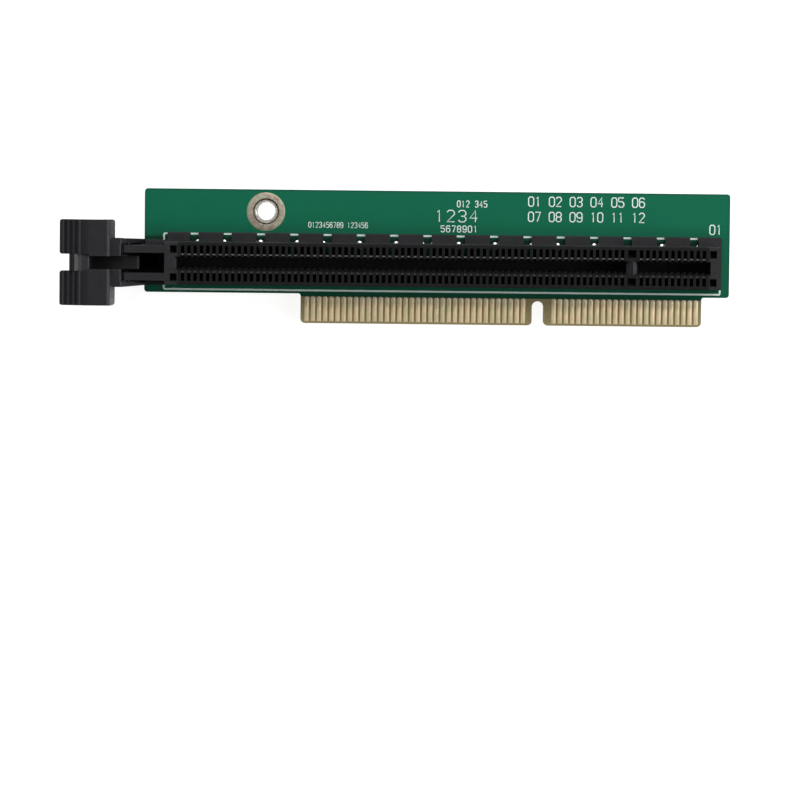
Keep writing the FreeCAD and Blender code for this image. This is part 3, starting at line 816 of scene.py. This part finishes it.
class RISER_OT_numbers(bpy.types.Operator):
    """Prints plain numbers on the board, one stroke wide"""
    bl_idname = "riser.numbers"
    bl_label = "Printed numbers"

    def execute(self, context):
        settings = context.scene.riser_print
        ink = bpy.data.materials["print_ink"]
        for name, digits, left, foot, height, step, wide, share in NUMBERS:
            clear_selection()
            width = settings.stroke * share
            line = bpy.data.curves.new(name, "CURVE")
            line.dimensions = "3D"
            line.bevel_depth = width / 2
            line.bevel_resolution = 1
            line.use_fill_caps = True
            rise = height * MM / 6
            for place, digit in enumerate(digits):
                for stroke in STROKES.get(digit, []):
                    spline = line.splines.new("POLY")
                    spline.points.add(len(stroke) - 1)
                    for point, (across, up) in zip(spline.points, stroke):
                        point.co = ((left + place * step + across * wide / 4) * MM, foot * MM + up * rise, 0, 1)
            piece = bpy.data.objects.new(name, line)
            context.scene.collection.objects.link(piece)
            make_active(piece)
            bpy.ops.object.convert(target="MESH")
            piece = bpy.context.active_object
            piece.scale.z = settings.thickness / width
            piece.location.z = FRONT + settings.thickness / 2
            settle(piece, name, ink, smooth=None)
        return {"FINISHED"}


class RISER_OT_stage(bpy.types.Operator):
    """Sets the floor, the soft boxes and the camera"""
    bl_idname = "riser.stage"
    bl_label = "Floor, light and camera"

    def execute(self, context):
        studio = context.scene.riser_studio
        clear_selection()
        bpy.ops.mesh.primitive_plane_add(size=4, location=(studio.across, studio.up, CAD_BOX[0].z - 0.02 * MM))
        floor = bpy.context.active_object
        floor.name = "studio_floor"
        paper = Finish("studio_table", {"Base Color": (0.4, 0.4, 0.4, 1), "Roughness": 0.9, "Specular IOR Level": 0.1,
                                        "Emission Color": (1, 1, 1, 1), "Emission Strength": studio.table_glow})
        floor.data.materials.append(paper.material)

        aim = Vector((studio.across, studio.up, FRONT))
        stand = Vector((studio.across, studio.stand_y, FRONT + studio.distance))
        line = aim - stand
        camera_data = bpy.data.cameras.new("studio_camera")
        camera = bpy.data.objects.new("studio_camera", camera_data)
        context.scene.collection.objects.link(camera)
        camera.location = stand
        tilt = Quaternion((1, 0, 0), math.atan2(line.y, -line.z))
        roll = Quaternion((0, 0, 1), studio.roll)
        camera.rotation_euler = (tilt @ roll).to_euler()
        camera_data.sensor_width = SENSOR
        camera_data.lens = SENSOR * line.length / studio.view_width
        camera_data.clip_start, camera_data.clip_end = 0.01, 10
        context.scene.camera = camera

        middle_of_card = Vector((studio.across, (BOARD[0].y + BOARD[1].y) / 2, FRONT))
        for name, place, size, power in (
            ("soft_box_key", (0.12, 0.5, 0.82), (0.9, 0.6), studio.key_power),
            ("soft_box_left", (-0.7, 0, 0.35), (0.5, 1.0), studio.left_power),
            ("soft_box_right", (0.6, 0, 0.25), (0.5, 1.0), studio.right_power),
        ):
            light = bpy.data.lights.new(name, "AREA")
            light.shape = "RECTANGLE"
            light.size, light.size_y = size
            light.energy = power
            box = bpy.data.objects.new(name, light)
            context.scene.collection.objects.link(box)
            box.location = middle_of_card + Vector(place)
            box.rotation_euler = Vector(place).to_track_quat("Z", "Y").to_euler()
        world = bpy.data.worlds.new("studio_room")
        world.use_nodes = True
        room = world.node_tree.nodes["Background"].inputs
        room["Color"].default_value = (1, 1, 1, 1)
        room["Strength"].default_value = studio.ambient
        context.scene.world = world
        context.scene.view_settings.view_transform = "Standard"
        return {"FINISHED"}


OPERATORS = [
    RISER_OT_stage,
    RISER_OT_finishes,
    RISER_OT_fingers,
    RISER_OT_ring,
    RISER_OT_nut,
    RISER_OT_solder,
    RISER_OT_outline,
    RISER_OT_numbers,
]


class RISER_PT_panel(bpy.types.Panel):
    """The steps of the riser card's dressing and their sizes"""
    bl_idname = "RISER_PT_panel"
    bl_label = "Riser card"
    bl_space_type = "VIEW_3D"
    bl_region_type = "UI"
    bl_category = "Riser card"

    def draw(self, context):
        for name, group in SETTINGS.items():
            box = self.layout.box()
            box.label(text=name.replace("_", " ").capitalize())
            for key in group.__annotations__:
                box.prop(getattr(context.scene, name), key)
        for operator in OPERATORS:
            self.layout.operator(operator.bl_idname)


CLASSES = [*SETTINGS.values(), *OPERATORS, RISER_PT_panel]


def register():
    for item in CLASSES:
        bpy.utils.register_class(item)
    for name, group in SETTINGS.items():
        setattr(bpy.types.Scene, name, bpy.props.PointerProperty(type=group))


def unregister():
    for name in SETTINGS:
        delattr(bpy.types.Scene, name)
    for item in reversed(CLASSES):
        bpy.utils.unregister_class(item)


def main():
    """Registers the add-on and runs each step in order."""
    register()
    for operator in OPERATORS:
        group, name = operator.bl_idname.split(".")
        getattr(getattr(bpy.ops, group), name)()


if __name__ == "__main__":
    main()
